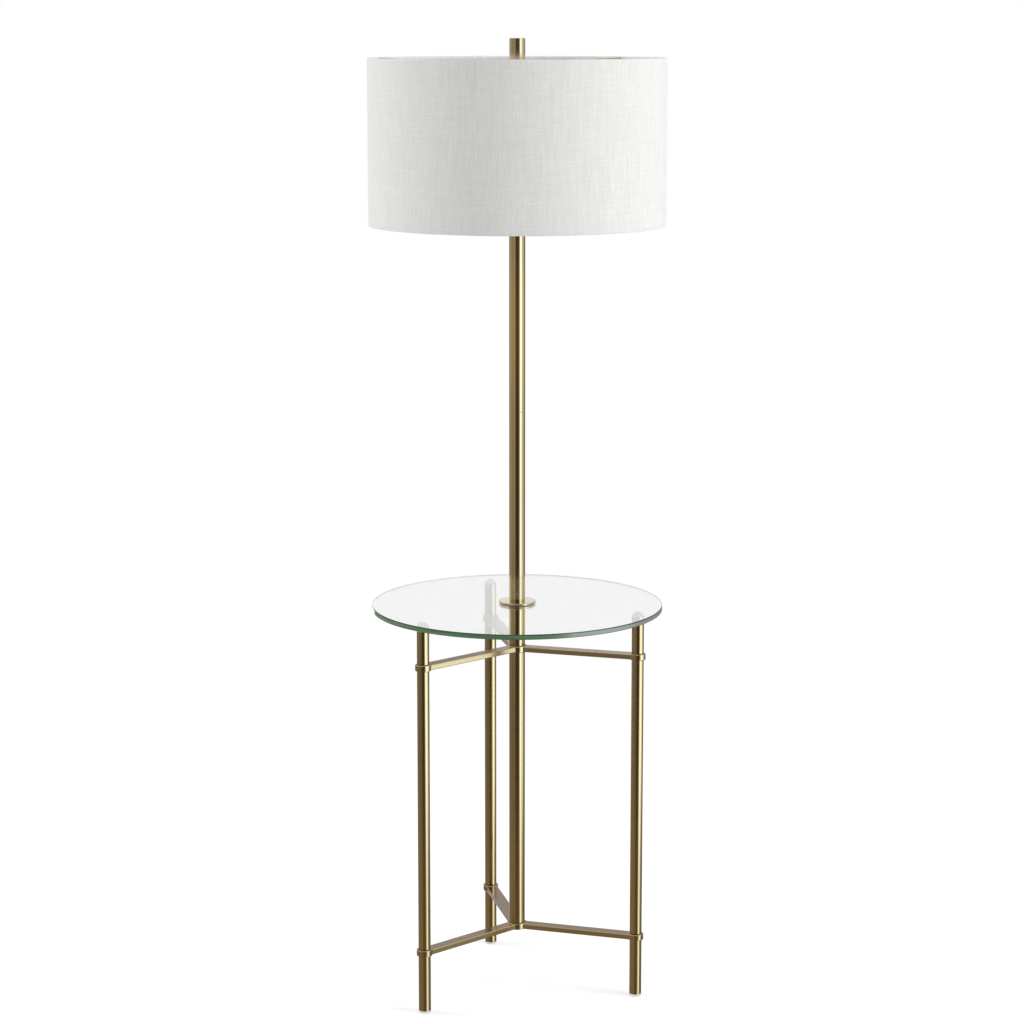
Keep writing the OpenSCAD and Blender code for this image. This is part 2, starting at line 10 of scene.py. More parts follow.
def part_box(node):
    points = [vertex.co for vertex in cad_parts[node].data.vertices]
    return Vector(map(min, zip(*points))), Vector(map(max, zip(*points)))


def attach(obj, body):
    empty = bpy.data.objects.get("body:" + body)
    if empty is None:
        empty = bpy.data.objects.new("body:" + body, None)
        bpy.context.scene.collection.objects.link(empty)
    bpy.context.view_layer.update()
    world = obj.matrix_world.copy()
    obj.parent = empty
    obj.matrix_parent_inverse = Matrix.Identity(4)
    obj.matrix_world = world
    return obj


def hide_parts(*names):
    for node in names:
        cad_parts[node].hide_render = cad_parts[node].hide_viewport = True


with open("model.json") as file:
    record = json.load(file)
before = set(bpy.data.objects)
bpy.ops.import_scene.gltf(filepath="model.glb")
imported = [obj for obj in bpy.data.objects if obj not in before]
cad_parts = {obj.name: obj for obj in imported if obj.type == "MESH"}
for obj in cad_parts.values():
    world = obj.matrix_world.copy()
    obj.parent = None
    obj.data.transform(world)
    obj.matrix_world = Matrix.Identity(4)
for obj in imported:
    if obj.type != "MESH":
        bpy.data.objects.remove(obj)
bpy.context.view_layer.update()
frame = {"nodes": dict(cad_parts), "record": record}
cad = frame["nodes"]
MM = 0.001
TURN = 2 * math.pi


# ---- camera ----

CAMERA_AZIMUTH = math.radians(-102.93)


def place_camera():
    """The photograph's viewpoint, fitted to the floor, the glass and the top of the finial."""
    distance, height = 4.199, 1.520
    pitch, yaw = math.radians(9.282), math.radians(0.109)
    lens = bpy.data.cameras.new("camera")
    lens.lens = 96.0
    lens.shift_y = -0.041
    camera = bpy.data.objects.new("camera", lens)
    camera.location = (
        distance * math.cos(CAMERA_AZIMUTH),
        distance * math.sin(CAMERA_AZIMUTH),
        height,
    )
    camera.rotation_euler = (math.pi / 2 - pitch, 0, CAMERA_AZIMUTH + math.pi / 2 + yaw)
    bpy.context.scene.collection.objects.link(camera)
    bpy.context.scene.camera = camera


# ---- short calls for shader and geometry nodes ----


class Graph:
    """One node tree. add() makes a node; an input takes a plain value or another node's output."""

    def __init__(self, tree):
        self.tree = tree
        tree.nodes.clear()

    def add(self, kind, inputs=None, **settings):
        node = self.tree.nodes.new(kind)
        for name, value in settings.items():
            setattr(node, name, value)
        for name, value in (inputs or {}).items():
            self.feed(node.inputs[name], value)
        return node

    def feed(self, socket, value):
        if isinstance(value, bpy.types.NodeSocket):
            self.tree.links.new(value, socket)
        else:
            socket.default_value = value

    def maths(self, operation, *values, clamp=False):
        inputs = dict(enumerate(values))
        node = self.add("ShaderNodeMath", inputs, operation=operation, use_clamp=clamp)
        return node.outputs[0]

    def plus(self, a, b, clamp=False):
        return self.maths("ADD", a, b, clamp=clamp)

    def minus(self, a, b):
        return self.maths("SUBTRACT", a, b)

    def times(self, a, b):
        return self.maths("MULTIPLY", a, b)

    def vector(self, operation, *values, output=0):
        node = self.add("ShaderNodeVectorMath", dict(enumerate(values)), operation=operation)
        return node.outputs[output]

    def xyz(self, x=0.0, y=0.0, z=0.0):
        return self.add("ShaderNodeCombineXYZ", {"X": x, "Y": y, "Z": z}).outputs[0]

    def parts(self, vector):
        return self.add("ShaderNodeSeparateXYZ", {0: vector}).outputs

    def noise(self, vector, scale=1.0, detail=2.0, roughness=0.5):
        inputs = {"Vector": vector, "Scale": scale, "Detail": detail, "Roughness": roughness}
        return self.add("ShaderNodeTexNoise", inputs).outputs["Fac"]

    def mix(self, factor, a, b):
        node = self.add("ShaderNodeMix", {0: factor, 2: a, 3: b}, data_type="FLOAT")
        return node.outputs[0]

    def blend(self, factor, a, b):
        node = self.add("ShaderNodeMix", {0: factor, 6: a, 7: b}, data_type="RGBA")
        return node.outputs[2]

    def span(self, value, low, high, to_low=0.0, to_high=1.0):
        """Goes smoothly from to_low to to_high as the value goes from low to high."""
        inputs = {"Value": value, "From Min": low, "From Max": high}
        inputs.update({"To Min": to_low, "To Max": to_high})
        node = self.add("ShaderNodeMapRange", inputs, interpolation_type="SMOOTHSTEP")
        return node.outputs[0]

    def ramp(self, value, stops):
        """A colour from (place, colour) stops."""
        node = self.add("ShaderNodeValToRGB", {0: value})
        elements = node.color_ramp.elements
        while len(elements) < len(stops):
            elements.new(0.5)
        for element, (place, colour) in zip(elements, stops):
            element.position = place
            element.color = (*colour, 1)
        return node.outputs[0]


def socket_of(tree, name, kind, default=None, output=False):
    way = "OUTPUT" if output else "INPUT"
    socket = tree.interface.new_socket(name=name, in_out=way, socket_type=kind)
    if default is not None:
        socket.default_value = default
    return socket.identifier


# ---- studio: world, lamps and floor ----


# What metal sees round the lamp, about level, a little lower, and lower still. Each stop has a
# place on the circle (0.5 is the camera's side, more is to its right) and the light that is there.
LEVEL_SURROUND = [
    (0.000, (0.35, 0.33, 0.29)), (0.139, (0.35, 0.33, 0.29)), (0.190, (0.50, 0.52, 0.50)),
    (0.222, (0.46, 0.46, 0.42)), (0.256, (0.29, 0.26, 0.20)), (0.380, (0.30, 0.28, 0.22)),
    (0.403, (0.36, 0.36, 0.34)), (0.433, (0.13, 0.115, 0.10)), (0.461, (0.035, 0.025, 0.018)),
    (0.500, (0.050, 0.034, 0.026)), (0.565, (0.045, 0.030, 0.014)), (0.589, (0.36, 0.34, 0.28)),
    (0.609, (0.80, 0.84, 0.80)), (0.624, (1.50, 1.80, 2.00)), (0.664, (1.50, 1.80, 2.00)),
    (0.697, (1.00, 1.18, 1.35)), (0.725, (0.60, 0.63, 0.60)), (0.792, (0.58, 0.60, 0.55)),
    (0.839, (0.28, 0.26, 0.20)), (1.000, (0.35, 0.33, 0.29)),
]
TABLE_SURROUND = [
    (0.000, (0.30, 0.28, 0.24)), (0.139, (0.30, 0.28, 0.24)), (0.231, (0.19, 0.175, 0.14)),
    (0.300, (0.16, 0.14, 0.10)), (0.364, (0.16, 0.135, 0.10)), (0.403, (0.11, 0.09, 0.06)),
    (0.420, (0.15, 0.13, 0.10)), (0.444, (0.10, 0.085, 0.07)), (0.472, (0.055, 0.042, 0.032)),
    (0.550, (0.050, 0.036, 0.020)), (0.575, (0.14, 0.12, 0.08)), (0.603, (0.65, 0.68, 0.62)),
    (0.625, (1.50, 1.75, 1.90)), (0.705, (1.50, 1.75, 1.90)), (0.735, (1.30, 1.40, 1.42)),
    (0.757, (1.10, 1.15, 1.10)), (0.785, (0.50, 0.50, 0.45)), (0.815, (0.22, 0.19, 0.14)),
    (0.861, (0.15, 0.12, 0.09)), (1.000, (0.30, 0.28, 0.24)),
]
FLOOR_SURROUND = [
    (0.000, (0.30, 0.28, 0.24)), (0.190, (0.30, 0.27, 0.22)), (0.236, (0.22, 0.172, 0.115)),
    (0.420, (0.22, 0.172, 0.115)), (0.447, (0.13, 0.095, 0.056)), (0.558, (0.12, 0.086, 0.048)),
    (0.583, (0.24, 0.20, 0.13)), (0.622, (0.62, 0.60, 0.52)), (0.642, (1.35, 1.43, 1.38)),
    (0.678, (1.35, 1.43, 1.38)), (0.702, (0.75, 0.78, 0.72)), (0.722, (0.22, 0.19, 0.14)),
    (0.750, (0.20, 0.17, 0.12)), (0.770, (0.26, 0.24, 0.19)), (0.820, (0.12, 0.10, 0.07)),
    (1.000, (0.30, 0.28, 0.24)),
]
# The pale backdrop behind the lamp, from low to high.
BACKDROP_BY_HEIGHT = [
    (0.0, (0.20, 0.19, 0.18)), (0.08, (0.55, 0.55, 0.55)), (0.14, (0.93, 0.93, 0.93)),
    (0.318, (0.93, 0.93, 0.93)), (0.40, (0.48, 0.48, 0.53)), (0.85, (0.42, 0.42, 0.44)),
    (1.0, (0.40, 0.40, 0.42)),
]
# The softboxes and gaps that upper faces see, round the circle.
OVERHEAD_SURROUND = [
    (0.00, (0.50, 0.50, 0.49)), (0.10, (0.30, 0.29, 0.27)), (0.18, (0.92, 0.93, 0.92)),
    (0.26, (0.92, 0.93, 0.92)), (0.34, (0.28, 0.27, 0.25)), (0.48, (0.50, 0.50, 0.48)),
    (0.60, (0.30, 0.29, 0.27)), (0.68, (0.98, 1.00, 1.00)), (0.78, (0.98, 1.00, 1.00)),
    (0.88, (0.32, 0.31, 0.29)), (1.00, (0.50, 0.50, 0.49)),
]

# Where one part of the surround fades into the next, as the Z of a ray's direction.
TABLE_BEGINS, FLOOR_BEGINS = (-0.19, -0.225), (-0.26, -0.31)
BACKDROP_BEGINS, BACKDROP_ENDS = (0.04, 0.10), (0.36, 0.52)
OVERHEAD_BEGINS = (0.80, 0.95)
WARM_BAND_BOTTOM, WARM_BAND_TOP = (-0.150, -0.105), (-0.078, -0.100)

WHITE = (1, 1, 1, 1)
LIGHT_ON_CLOTH = (0.775, 0.775, 0.775, 1)
REAR_SOFTBOX = (1.4, 1.45, 1.4, 1)
CEILING = (0.5, 0.5, 0.5, 1)
UNDER_THE_GLASS = (0.80, 0.81, 0.84, 1)


def studio_world():
    """White for the camera and through glass, an even light on cloth, softboxes in metal."""
    world = bpy.data.worlds.new("studio")
    bpy.context.scene.world = world
    world.use_nodes = True
    g = Graph(world.node_tree)
    away = g.add("ShaderNodeTexCoord").outputs["Generated"]
    facing = g.add(
        "ShaderNodeVectorRotate",
        {"Vector": away, "Angle": -CAMERA_AZIMUTH},
        rotation_type="Z_AXIS",
    ).outputs[0]
    x, y, z = g.parts(facing)
    around = g.plus(g.maths("DIVIDE", g.maths("ARCTAN2", y, x), TURN), 0.5)

    # front and sides
    level, table = g.ramp(around, LEVEL_SURROUND), g.ramp(around, TABLE_SURROUND)
    sides = g.blend(g.span(z, *TABLE_BEGINS), level, table)
    sides = g.blend(g.span(z, *FLOOR_BEGINS), sides, g.ramp(around, FLOOR_SURROUND))
    warm_band = g.times(g.span(z, *WARM_BAND_BOTTOM), g.span(z, *WARM_BAND_TOP))
    warmed = g.vector("MULTIPLY_ADD", sides, (1.25, 1.25, 1.25), (0.09, 0.045, 0.008))
    sides = g.blend(warm_band, sides, warmed)

    # back, and everything above the lamp
    rays = g.add("ShaderNodeLightPath").outputs
    behind = g.plus(g.span(around, 0.22, 0.15), g.span(around, 0.80, 0.87))
    one_bounce = g.maths("LESS_THAN", rays["Glossy Depth"], 1.5)
    rising = g.times(g.span(z, *BACKDROP_BEGINS), one_bounce)
    rear_box = g.times(g.span(around, 0.02, 0.03), g.span(around, 0.075, 0.06))
    rear_box = g.times(rear_box, g.minus(1.0, rising))
    sweep = g.ramp(g.span(z, -0.1, 0.75), BACKDROP_BY_HEIGHT)
    sweep = g.blend(rear_box, sweep, REAR_SOFTBOX)
    in_metal = g.blend(g.maths("MAXIMUM", behind, rising), sides, sweep)
    overhead = g.ramp(around, OVERHEAD_SURROUND)
    in_metal = g.blend(g.span(z, *BACKDROP_ENDS), in_metal, overhead)
    in_metal = g.blend(g.span(z, *OVERHEAD_BEGINS), in_metal, CEILING)

    # glass in front of metal or of nothing
    straight = g.maths("LESS_THAN", rays["Glossy Depth"], 0.5)
    through = rays["Is Transmission Ray"]
    bent = g.times(through, g.minus(1.0, straight))
    in_metal = g.blend(g.times(bent, g.span(z, 0.0, 0.05)), in_metal, UNDER_THE_GLASS)
    white = g.maths("MAXIMUM", rays["Is Camera Ray"], g.times(through, straight))
    elsewhere = g.blend(rays["Is Glossy Ray"], LIGHT_ON_CLOTH, in_metal)
    colour = g.blend(white, elsewhere, WHITE)
    light = g.add("ShaderNodeBackground", {"Color": colour, "Strength": 1.0})
    g.add("ShaderNodeOutputWorld", {"Surface": light.outputs[0]})


def lamp(name, angle, distance, height, size, watts):
    """A softbox at an angle to the right of the camera, facing the middle of the object."""
    light = bpy.data.lights.new(name, "AREA")
    light.shape = "RECTANGLE"
    light.size, light.size_y = size
    light.energy = watts
    box = bpy.data.objects.new(name, light)
    azimuth = CAMERA_AZIMUTH + math.radians(angle)
    place = Vector((distance * math.cos(azimuth), distance * math.sin(azimuth), height))
    box.location = place
    box.rotation_euler = (Vector((0, 0, 0.85)) - place).to_track_quat("-Z", "Y").to_euler()
    box.visible_camera = box.visible_glossy = box.visible_transmission = False
    bpy.context.scene.collection.objects.link(box)


def studio_floor():
    """A pale floor that keeps the object's shadow, and fades to white away from it."""
    half = 14.0
    mesh = bpy.data.meshes.new("studio_floor")
    corners = [(-half, -half, 0), (half, -half, 0), (half, half, 0), (-half, half, 0)]
    mesh.from_pydata(corners, [], [(0, 1, 2, 3)])
    floor = bpy.data.objects.new("studio_floor", mesh)
    bpy.context.scene.collection.objects.link(floor)
    made = bpy.data.materials.new("studio_floor")
    made.use_nodes = True
    g = Graph(made.node_tree)
    spot = g.add("ShaderNodeTexCoord").outputs["Object"]
    away = g.vector("LENGTH", spot, output=1)
    rays = g.add("ShaderNodeLightPath").outputs
    white = g.maths("MAXIMUM", rays["Is Camera Ray"], rays["Is Transmission Ray"])
    paint = g.add("ShaderNodeBsdfDiffuse", {"Color": (0.60, 0.60, 0.60, 1)}).outputs[0]
    lift = {"Color": WHITE, "Strength": g.times(white, 0.46)}
    glow = g.add("ShaderNodeEmission", lift).outputs[0]
    near = g.add("ShaderNodeAddShader", {0: paint, 1: glow}).outputs[0]
    far = g.add("ShaderNodeEmission", {"Color": WHITE, "Strength": white}).outputs[0]
    fade = g.times(white, g.span(away, 0.7, 2.2))
    by_the_lamp = g.add("ShaderNodeMixShader", {0: fade, 1: near, 2: far}).outputs[0]
    gone = g.add("ShaderNodeBsdfTransparent").outputs[0]
    from_below = g.add("ShaderNodeNewGeometry").outputs["Backfacing"]
    hidden = g.maths("MAXIMUM", rays["Is Glossy Ray"], from_below)
    whole = g.add("ShaderNodeMixShader", {0: hidden, 1: by_the_lamp, 2: gone}).outputs[0]
    g.add("ShaderNodeOutputMaterial", {"Surface": whole})
    mesh.materials.append(made)


# ---- effects that several finishes share ----


def shared_effect(name, inputs):
    """A shader group that gives a colour, a roughness and a height."""
    tree = bpy.data.node_groups.new(name, "ShaderNodeTree")
    for title, kind, default in inputs:
        socket_of(tree, title, kind, default)
    socket_of(tree, "Color", "NodeSocketColor", output=True)
    socket_of(tree, "Roughness", "NodeSocketFloat", output=True)
    socket_of(tree, "Height", "NodeSocketFloat", output=True)
    g = Graph(tree)
    return tree, g, g.add("NodeGroupInput").outputs


def satin_strokes():
    """Fine brush strokes on metal. Strokes lie across the Z of the vector that comes in."""
    tree, g, given = shared_effect(
        "satin_strokes",
        [
            ("Across", "NodeSocketVector", None),
            ("Bright", "NodeSocketColor", None),
            ("Deep", "NodeSocketColor", None),
            ("Roughness", "NodeSocketFloat", 0.25),
            ("Spread", "NodeSocketFloat", 0.1),
        ],
    )
    across = given["Across"]
    fine = g.noise(g.vector("MULTIPLY", across, (60, 60, 2600)), detail=3, roughness=0.6)
    broad = g.noise(g.vector("MULTIPLY", across, (14, 14, 420)), detail=2)
    cloud = g.noise(across, scale=22, detail=3)
    strokes = g.mix(0.4, fine, broad)
    tone = g.plus(g.times(strokes, 0.7), g.times(cloud, 0.5), clamp=True)
    colour = g.blend(tone, given["Deep"], given["Bright"])
    swing = g.times(g.minus(g.mix(0.35, strokes, cloud), 0.5), given["Spread"])
    rough = g.plus(given["Roughness"], g.times(swing, 2.0), clamp=True)
    g.add("NodeGroupOutput", {"Color": colour, "Roughness": rough, "Height": strokes})
    return tree


def moulded_skin():
    """The faint cloud and fine grain of a moulded or pressed surface."""
    tree, g, given = shared_effect(
        "moulded_skin",
        [
            ("Spot", "NodeSocketVector", None),
            ("Light", "NodeSocketColor", None),
            ("Dark", "NodeSocketColor", None),
            ("Roughness", "NodeSocketFloat", 0.4),
            ("Grain", "NodeSocketFloat", 900.0),
        ],
    )
    grain = g.noise(given["Spot"], scale=given["Grain"], detail=2)
    cloud = g.noise(given["Spot"], scale=35, detail=4)
    tone = g.span(g.mix(0.4, cloud, grain), 0.3, 0.7)
    colour = g.blend(tone, given["Dark"], given["Light"])
    swing = g.times(g.minus(cloud, 0.5), 0.16)
    rough = g.plus(given["Roughness"], swing, clamp=True)
    g.add("NodeGroupOutput", {"Color": colour, "Roughness": rough, "Height": grain})
    return tree


SATIN = satin_strokes()
MOULDED = moulded_skin()


# ---- finishes ----


def new_finish(name):
    made = bpy.data.materials.new(name)
    made.use_nodes = True
    return made, Graph(made.node_tree)


def object_spot(g):
    return g.add("ShaderNodeTexCoord").outputs["Object"]


def surface(g, colour, roughness, height=None, depth=0.0, plain=None):
    """A Principled surface. plain holds numbers that are the same all over, by socket name."""
    inputs = {"Base Color": colour, "Roughness": roughness, **(plain or {})}
    if height is not None:
        bump = g.add("ShaderNodeBump", {"Height": height, "Distance": depth, "Strength": 1.0})
        inputs["Normal"] = bump.outputs[0]
    return g.add("ShaderNodeBsdfPrincipled", inputs).outputs[0]


def close(g, shader):
    g.add("ShaderNodeOutputMaterial", {"Surface": shader})


BRASS_BRIGHT, BRASS_DEEP = (0.74, 0.602, 0.360, 1), (0.66, 0.528, 0.305, 1)


def painted_seam_shade(g, spot, colour, heights):
    """A painted shade line where the end of a tube meets the next piece."""
    _, _, z = g.parts(spot)
    nearest = 1.0
    for height in heights:
        nearest = g.maths("MINIMUM", nearest, g.maths("ABSOLUTE", g.minus(z, height)))
    return g.blend(g.span(nearest, 0.0004, 0.0012), (0.15, 0.105, 0.055, 1), colour)


def satin_metal(
    name, across, bright, deep, roughness, spread=0.1, depth=2e-6, seams=(), lacquer=0.0, edge=WHITE
):
    """across(graph, spot) gives the vector whose Z runs across the brush strokes.

    seams are the heights of painted shade lines, and edge tints what the flattest glance sees.
    """
    made, g = new_finish(name)
    spot = object_spot(g)
    given = {"Across": across(g, spot), "Bright": bright, "Deep": deep}
    given.update({"Roughness": roughness, "Spread": spread})
    out = g.add("ShaderNodeGroup", given, node_tree=SATIN).outputs
    colour = painted_seam_shade(g, spot, out["Color"], seams) if seams else out["Color"]
    plain = {"Metallic": 1.0, "Specular Tint": edge}
    plain.update({"Coat Weight": lacquer, "Coat Roughness": 0.15, "Coat IOR": 1.7})
    close(g, surface(g, colour, out["Roughness"], out["Height"], depth, plain))
    return made


def moulded_look(g, light, dark, roughness, grain=900.0):
    given = {"Spot": object_spot(g), "Light": light, "Dark": dark}
    given.update({"Roughness": roughness, "Grain": grain})
    return g.add("ShaderNodeGroup", given, node_tree=MOULDED).outputs


def moulded(name, light, dark, roughness, grain=900.0, depth=4e-6):
    made, g = new_finish(name)
    out = moulded_look(g, light, dark, roughness, grain)
    close(g, surface(g, out["Color"], out["Roughness"], out["Height"], depth))
    return made


def round_the_tube(g, spot):
    """Strokes run round an upright tube."""
    return spot


def along_the_arms(g, spot):
    """Strokes run along the three arms of a bracket, and round its hub and rings."""
    x, y, z = g.parts(spot)
    nearest = None
    for angle in (90, 210, 330):
        a = math.radians(angle)
        sideways = g.minus(g.times(x, math.sin(a)), g.times(y, math.cos(a)))
        off = g.maths("ABSOLUTE", sideways)
        nearest = off if nearest is None else g.maths("MINIMUM", nearest, off)
    return g.xyz(g.vector("LENGTH", spot, output=1), 0.0, g.plus(nearest, z))


def round_the_axis(g, spot):
    """Lathe marks: rings on a face, rounds on a wall."""
    x, y, z = g.parts(spot)
    out = g.vector("LENGTH", g.xyz(x, y, 0.0), output=1)
    return g.xyz(g.times(x, 0.3), g.times(y, 0.3), g.plus(out, z))


def through_in_shadow(g, shader, tint):
    """Lets light through to what stands under the glass."""
    clear = g.add("ShaderNodeBsdfTransparent", {"Color": tint}).outputs[0]
    rays = g.add("ShaderNodeLightPath").outputs
    return g.add("ShaderNodeMixShader", {0: rays["Is Shadow Ray"], 1: shader, 2: clear}).outputs[0]


def table_glass_finish():
    """Clear plate glass, polished on both faces."""
    made, g = new_finish("table_glass")
    haze = g.noise(object_spot(g), scale=14, detail=3)
    face = g.blend(haze, (0.982, 0.993, 0.987, 1), (0.992, 1.0, 0.995, 1))
    smooth = g.span(haze, 0.2, 0.8, 0.0, 0.02)
    plate = {"Transmission Weight": 1.0, "IOR": 1.52}
    plate.update({"Coat Weight": 0.9, "Coat IOR": 1.8, "Coat Roughness": 0.0})
    shader = surface(g, face, smooth, plain=plate)
    close(g, through_in_shadow(g, shader, (0.93, 0.96, 0.94, 1)))
    return made


def glass_edge_finish():
    """The polished rim, where light that has crossed the whole sheet comes out green.

    It has a painted reflection that greys it to the right of the front, painted shade along both
    edges, and painted light that makes it pale where it is seen through the sheet.
    """
    made, g = new_finish("glass_edge")
    spot = object_spot(g)
    x, y, z = g.parts(spot)
    bands = g.noise(g.xyz(g.times(x, 16), g.times(y, 16), g.times(z, 500)), detail=2)
    deep, light = (0.070, 0.155, 0.075, 1), (0.130, 0.255, 0.130, 1)
    colour = g.blend(g.span(bands, 0.3, 0.7), deep, light)
    # Painted reflection: right of the front the rim is painted grey, for the studio light it
    # reflects there.
    painted_reflection_side = g.vector("DOT_PRODUCT", spot, (0.975, -0.224, 0.0), output=1)
    colour = g.blend(g.span(painted_reflection_side, 0.02, 0.18), colour, (0.235, 0.265, 0.250, 1))
    low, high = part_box("table_glass")
    rise = g.minus(z, (low.z + high.z) / 2)
    # Painted shade: the rim is painted darker in bands along its lower and upper edges.
    colour = g.blend(g.span(rise, -0.0026, -0.0036), colour, (0.055, 0.095, 0.060, 1))
    colour = g.blend(g.span(rise, 0.0020, 0.0028), colour, (0.016, 0.030, 0.020, 1))
    from_inside = g.add("ShaderNodeNewGeometry").outputs["Backfacing"]
    # Painted light: where the rim is seen from inside the sheet it is painted pale.
    colour = g.blend(from_inside, colour, (0.42, 0.50, 0.44, 1))
    rough = g.span(bands, 0.2, 0.8, 0.06, 0.12)
    polish = {"IOR": 1.52, "Coat Weight": 0.7, "Coat IOR": 1.8, "Coat Roughness": 0.06}
    close(g, surface(g, colour, rough, plain=polish))
    return made


def clear_plastic_finish(name, light, dark, clearness):
    made, g = new_finish(name)
    out = moulded_look(g, light, dark, 0.12)
    clear = {"Transmission Weight": clearness, "IOR": 1.41}
    shader = surface(g, out["Color"], out["Roughness"], out["Height"], 3e-6, clear)
    close(g, through_in_shadow(g, shader, (0.8, 0.83, 0.83, 1)))
    return made


def linen_finish():
    """Off-white linen: uneven yarns both ways, some of them thick. U and V are metres of cloth."""
    made, g = new_finish("linen")
    cloth = g.add("ShaderNodeUVMap", uv_map="cloth").outputs[0]
    u, v, _ = g.parts(cloth)
    pitch, slub_length = 0.00062, 0.045

    def yarns(over, along, seed):
        """Height, thick places and tone of the yarns that run one way."""
        wander = g.noise(g.xyz(g.times(over, 300), g.times(along, 40), seed), detail=1)
        place = g.plus(g.maths("DIVIDE", over, pitch), g.times(wander, 1.6))
        ridge = g.maths("SINE", g.times(place, TURN))
        run = g.maths("DIVIDE", along, slub_length)

        def own_noise(strands, stretch, layer):
            """Noise along each group of strands, of its own pattern."""
            number = g.maths("FLOOR", g.maths("DIVIDE", place, strands))
            draw = {"W": g.plus(number, seed + layer)}
            start = g.add("ShaderNodeTexWhiteNoise", draw, noise_dimensions="1D").outputs["Value"]
            down = g.plus(g.times(run, stretch), g.times(start, 40))
            return g.noise(g.xyz(g.times(number, 1.37), down, seed + layer), detail=1)

        slubs = g.span(own_noise(1, 2.0, 0.3), 0.58, 0.76)
        return ridge, slubs, own_noise(2, 1.0, 0.7)

    up_ridge, up_slub, up_tone = yarns(u, v, 1.0)
    round_ridge, round_slub, round_tone = yarns(v, u, 20.0)
    slubs = g.maths("MAXIMUM", up_slub, round_slub)
    weave = g.maths("MAXIMUM", up_ridge, round_ridge)
    height = g.plus(g.times(weave, 0.5), g.times(slubs, 0.9))
    tone = g.plus(g.times(up_tone, 0.72), g.times(round_tone, 0.36))
    tone = g.plus(tone, g.times(slubs, 0.3))
    # Painted shade: the gaps between the yarns are painted darker than the yarns.
    gap, dull, bright = (0.72, 0.717, 0.70, 1), (0.79, 0.788, 0.772, 1), (0.935, 0.934, 0.925, 1)
    yarn = g.blend(g.span(tone, 0.28, 0.92), dull, bright)
    colour = g.blend(g.span(weave, -0.9, 0.4), gap, yarn)
    rough = g.mix(slubs, 0.92, 0.80)
    nap = {"Sheen Weight": 0.12, "Sheen Roughness": 0.5}
    close(g, surface(g, colour, rough, height, 0.00009, nap))
    return made


TUBE_SEAMS = [corner.z for name in ("lower_bracket", "upper_bracket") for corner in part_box(name)]

FINISHES = {
    "tube_brass": satin_metal(
        "tube_brass", round_the_tube, BRASS_BRIGHT, BRASS_DEEP, 0.11,
        spread=0.05, depth=1.2e-6, seams=TUBE_SEAMS, edge=(0.85, 0.78, 0.68, 1),
    ),
    "bracket_brass": satin_metal(
        "bracket_brass", along_the_arms, BRASS_BRIGHT, BRASS_DEEP, 0.13,
        spread=0.05, edge=(0.60, 0.60, 0.75, 1),
    ),
    "turned_brass": satin_metal(
        "turned_brass", round_the_axis, BRASS_BRIGHT, BRASS_DEEP, 0.11, spread=0.05, lacquer=1.0
    ),
    "drawn_brass": satin_metal(
        "drawn_brass", round_the_tube, (0.72, 0.58, 0.33, 1), (0.60, 0.46, 0.24, 1), 0.26
    ),
    "contact_brass": satin_metal(
        "contact_brass", round_the_axis, (0.80, 0.62, 0.30, 1), (0.62, 0.44, 0.20, 1), 0.3
    ),
    "steel": satin_metal(
        "steel", round_the_axis, (0.62, 0.63, 0.65, 1), (0.46, 0.47, 0.49, 1), 0.34
    ),
    "bulb_metal": satin_metal(
        "bulb_metal", round_the_axis, (0.74, 0.74, 0.75, 1), (0.58, 0.58, 0.59, 1), 0.28
    ),
    "table_glass": table_glass_finish(),
    "glass_edge": glass_edge_finish(),
    "clear_plastic": clear_plastic_finish(
        "clear_plastic", (0.985, 0.99, 0.99, 1), (0.93, 0.945, 0.945, 1), 0.5
    ),
    # Painted shade: a dark finish for the washers in the thin gaps round the glass, painted for the
    # shade there.
    "washer_in_painted_shade": clear_plastic_finish(
        "washer_in_painted_shade", (0.22, 0.20, 0.15, 1), (0.17, 0.15, 0.11, 1), 0.3
    ),
    "black_plastic": moulded(
        "black_plastic", (0.030, 0.030, 0.031, 1), (0.018, 0.018, 0.019, 1), 0.42
    ),
    "card": moulded(
        "fibre_board", (0.56, 0.50, 0.38, 1), (0.42, 0.36, 0.26, 1), 0.85, grain=1600, depth=2e-5
    ),
    "bulb_plastic": moulded(
        "bulb_plastic", (0.86, 0.86, 0.85, 1), (0.80, 0.80, 0.79, 1), 0.38
    ),
    "bulb_globe": moulded(
        "frosted_globe", (0.92, 0.92, 0.90, 1), (0.88, 0.88, 0.86, 1), 0.46
    ),
    "shade_liner": moulded(
        "shade_liner", (0.88, 0.87, 0.84, 1), (0.84, 0.83, 0.79, 1), 0.38, grain=400
    ),
    "linen": linen_finish(),
}


TURNED_PIECES = (
    "table_flange", "pole_cap", "finial", "harp_stud", "holder_cap", "holder_shell"
)


def brass_of(name):
    """Which brass a piece has, by how it is made."""
    if name.endswith("_bracket"):
        return "bracket_brass"
    if name in TURNED_PIECES:
        return "turned_brass"
    if name.startswith(("leg_", "pole_")):
        return "tube_brass"
    return "drawn_brass"


def finish_cad():
    """Gives every CAD node the finish of its record slot."""
    slots = {part["node"]: part["material_slot"] for part in frame["record"]["subparts"]}
    for name, piece in cad.items():
        kind = slots[name]
        if kind == "brass":
            kind = brass_of(name)
        elif name in ("flange_gasket", "glass_seat_washer"):
            # These washers take the dark finish that paints the shade in their gaps.
            kind = "washer_in_painted_shade"
        piece.data.materials.clear()
        piece.data.materials.append(FINISHES[kind])


# ---- shapes made here ----


def new_piece(name, verts, faces, finish, smooth_under=40):
    mesh = bpy.data.meshes.new(name)
    mesh.from_pydata(verts, [], faces)
    return dress(bpy.data.objects.new(name, mesh), finish, smooth_under)


